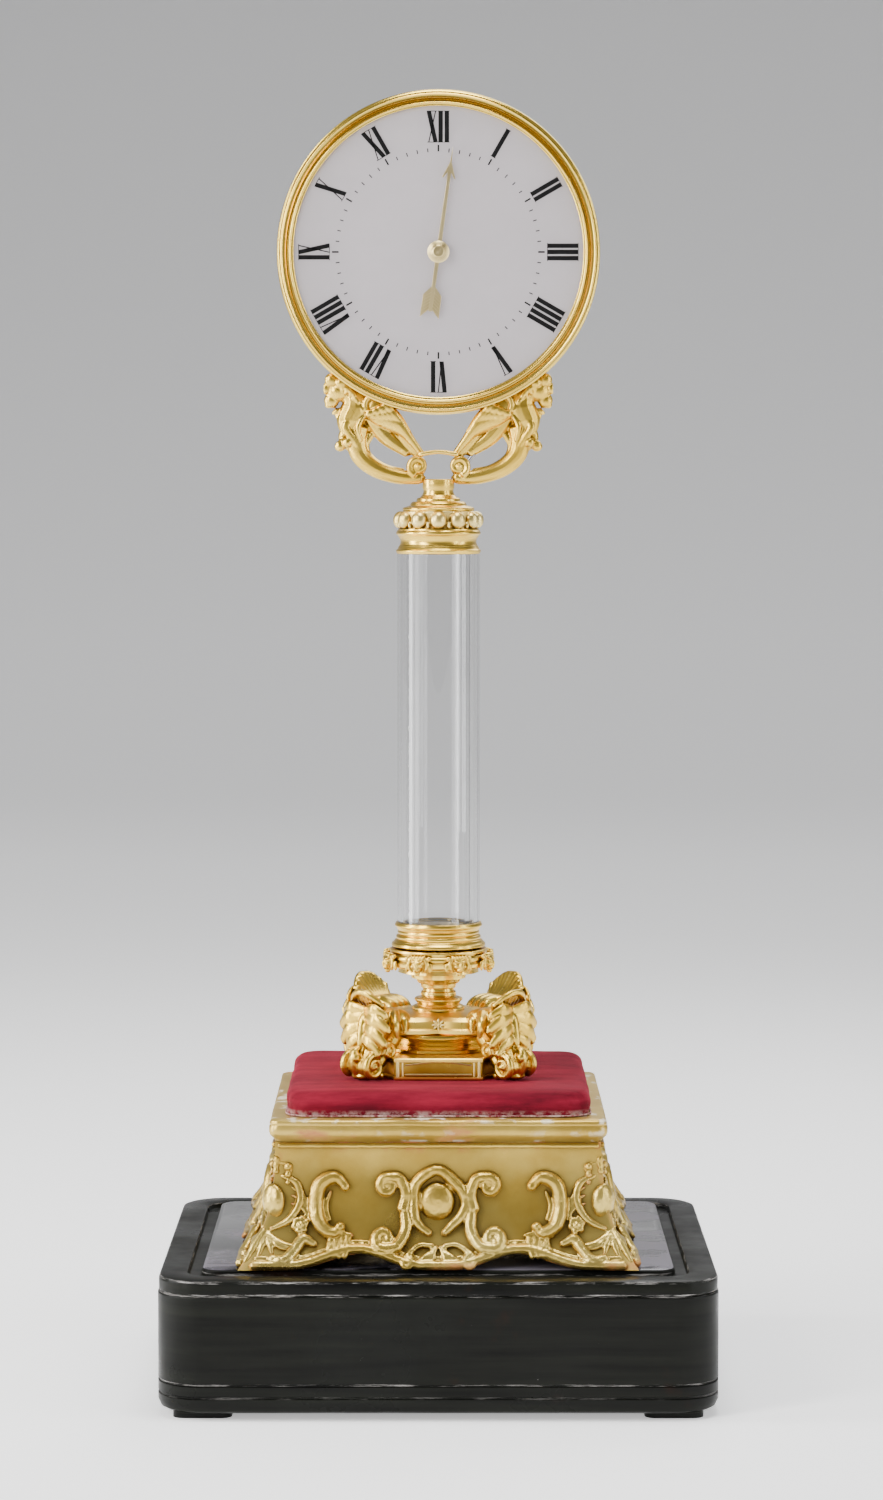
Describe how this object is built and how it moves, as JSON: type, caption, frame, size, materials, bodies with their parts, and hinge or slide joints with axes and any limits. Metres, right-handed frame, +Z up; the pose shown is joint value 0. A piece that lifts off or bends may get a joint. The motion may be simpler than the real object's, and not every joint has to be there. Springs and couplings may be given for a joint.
{
  "type": "mystery clock",
  "caption": "Mystery clock: glass dial held by winged chimeras on a glass column, ormolu vase and scroll feet, velvet pad, giltwood stand and ebonised plinth.",
  "frame": {"origin": "on the floor, under the axis of the glass column, at the middle of the plinth's underside", "axes": "+Z up along the column, the dial faces -Y, +X to the viewer's right"},
  "size_m": [0.247, 0.21, 0.5862],
  "materials": {
    "ebonised_wood": "black French polish, rubbed",
    "giltwood": "water gilding over red bole, worn",
    "bare_wood": "planed",
    "velvet": "cut pile, worn at the lower edge",
    "ormolu": "fire gilt, burnished and matt",
    "gilt_hand": "gilt",
    "clear_glass": "polished",
    "dial_glass": "polished, slightly smoky",
    "brass": "machined",
    "steel": "polished steel"
  },
  "bodies": {
    "clock_body": {"plinth_frame": "ebonised_wood", "plinth_top": "ebonised_wood", "plinth_feet": "ebonised_wood", "giltwood_carcass": "giltwood", "giltwood_rim": "giltwood", "giltwood_top_board": "bare_wood", "side_cartouches": "giltwood", "corner_ornaments": "giltwood", "velvet_pad": "velvet", "movement_case": "ormolu", "case_drum": "ormolu", "foot_platform": "ormolu", "scroll_foot_front_left": "ormolu", "scroll_foot_front_right": "ormolu", "scroll_foot_back_left": "ormolu", "scroll_foot_back_right": "ormolu", "vase_stem": "ormolu", "vase_bowl": "ormolu", "vase_masks": "ormolu", "vase_collar": "ormolu", "column_glass": "clear_glass", "capital_ring": "ormolu", "capital_beads": "ormolu", "capital_neck": "ormolu", "chimera_left": "ormolu", "chimera_right": "ormolu", "shaft_bushes": "brass", "bezel_front": "ormolu", "bezel_back": "ormolu", "dial_glass": "dial_glass", "dial_bush": "brass", "upper_plate": "brass", "lower_plate": "brass", "plate_pillars": "brass", "hanging_posts": "brass", "fixing_screws": "steel"},
    "drive_column": {"drive_tube": "clear_glass", "drive_tube_foot": "brass", "drive_tube_cap": "brass", "drive_arbor": "steel", "drive_wheel": "brass"},
    "dial_hand": {"hand_disc": "dial_glass", "disc_ring": "brass", "hand_arbor": "brass", "arrow_hand": "gilt_hand", "hand_boss": "gilt_hand"},
    "inclined_drive": {"inclined_shaft": "steel", "worm": "steel"},
    "going_barrel": {"mainspring_barrel": "brass"},
    "winder": {"winding_arbor": "steel", "ratchet_wheel": "steel", "mainspring": "steel"},
    "click_pawl": {"ratchet_click": "steel"},
    "centre_arbor": {"centre_wheel": "brass"},
    "second_arbor": {"second_wheel": "brass"},
    "third_arbor": {"third_wheel": "brass"},
    "escape_arbor": {"escape_wheel": "brass"},
    "lever": {"pallet_lever": "steel"},
    "balance": {"balance_wheel": "brass", "hairspring": "steel"}
  },
  "joints": [
    {"name": "drive_column_spin", "type": "hinge", "parent": "clock_body", "child": "drive_column", "pos_m": [0, 0, 0.3], "axis": [0, 0, 1], "continuous": true},
    {"name": "hand_spin", "type": "hinge", "parent": "clock_body", "child": "dial_hand", "pos_m": [0, 0, 0.513], "axis": [0, 1, 0], "continuous": true},
    {"name": "inclined_shaft_spin", "type": "hinge", "parent": "clock_body", "child": "inclined_drive", "pos_m": [0, 0, 0.402], "axis": [0.6297, 0, 0.7768], "continuous": true},
    {"name": "barrel_spin", "type": "hinge", "parent": "clock_body", "child": "going_barrel", "pos_m": [-0.02321, -0.02196, 0.095], "axis": [0, 0, 1], "continuous": true},
    {"name": "centre_wheel_spin", "type": "hinge", "parent": "clock_body", "child": "centre_arbor", "pos_m": [-0.03054, 0.00542, 0.1], "axis": [0, 0, 1], "continuous": true},
    {"name": "second_wheel_spin", "type": "hinge", "parent": "clock_body", "child": "second_arbor", "pos_m": [-0.01213, 0.01213, 0.1], "axis": [0, 0, 1], "continuous": true},
    {"name": "third_wheel_spin", "type": "hinge", "parent": "clock_body", "child": "third_arbor", "pos_m": [0.01579, 0.00575, 0.1], "axis": [0, 0, 1], "continuous": true},
    {"name": "escape_wheel_spin", "type": "hinge", "parent": "clock_body", "child": "escape_arbor", "pos_m": [0.02705, -0.0037, 0.1], "axis": [0, 0, 1], "continuous": true},
    {"name": "winding_spin", "type": "hinge", "parent": "clock_body", "child": "winder", "pos_m": [-0.02321, -0.02196, 0.09], "axis": [0, 0, 1], "continuous": true},
    {"name": "click_lift", "type": "hinge", "parent": "clock_body", "child": "click_pawl", "pos_m": [-0.01671, -0.0107, 0.082], "axis": [0, 0, 1], "range_deg": [-12, 0]},
    {"name": "lever_rock", "type": "hinge", "parent": "clock_body", "child": "lever", "pos_m": [0.03125, -0.01098, 0.098], "axis": [0, 0, 1], "range_deg": [-4, 4]},
    {"name": "balance_swing", "type": "hinge", "parent": "clock_body", "child": "balance", "pos_m": [0.03283, -0.01841, 0.091], "axis": [0, 0, 1], "range_deg": [-220, 220], "stiffness_Nm_per_rad": 0.0000001}
  ],
  "couplings": [
    {"joint": "hand_spin", "follows": "drive_column_spin", "ratio": 0.0069444},
    {"joint": "inclined_shaft_spin", "follows": "drive_column_spin", "ratio": 1},
    {"joint": "second_wheel_spin", "follows": "drive_column_spin", "ratio": -0.16667},
    {"joint": "centre_wheel_spin", "follows": "drive_column_spin", "ratio": 0.027778},
    {"joint": "barrel_spin", "follows": "drive_column_spin", "ratio": -0.0034722},
    {"joint": "third_wheel_spin", "follows": "drive_column_spin", "ratio": -7},
    {"joint": "escape_wheel_spin", "follows": "drive_column_spin", "ratio": 42}
  ]
}
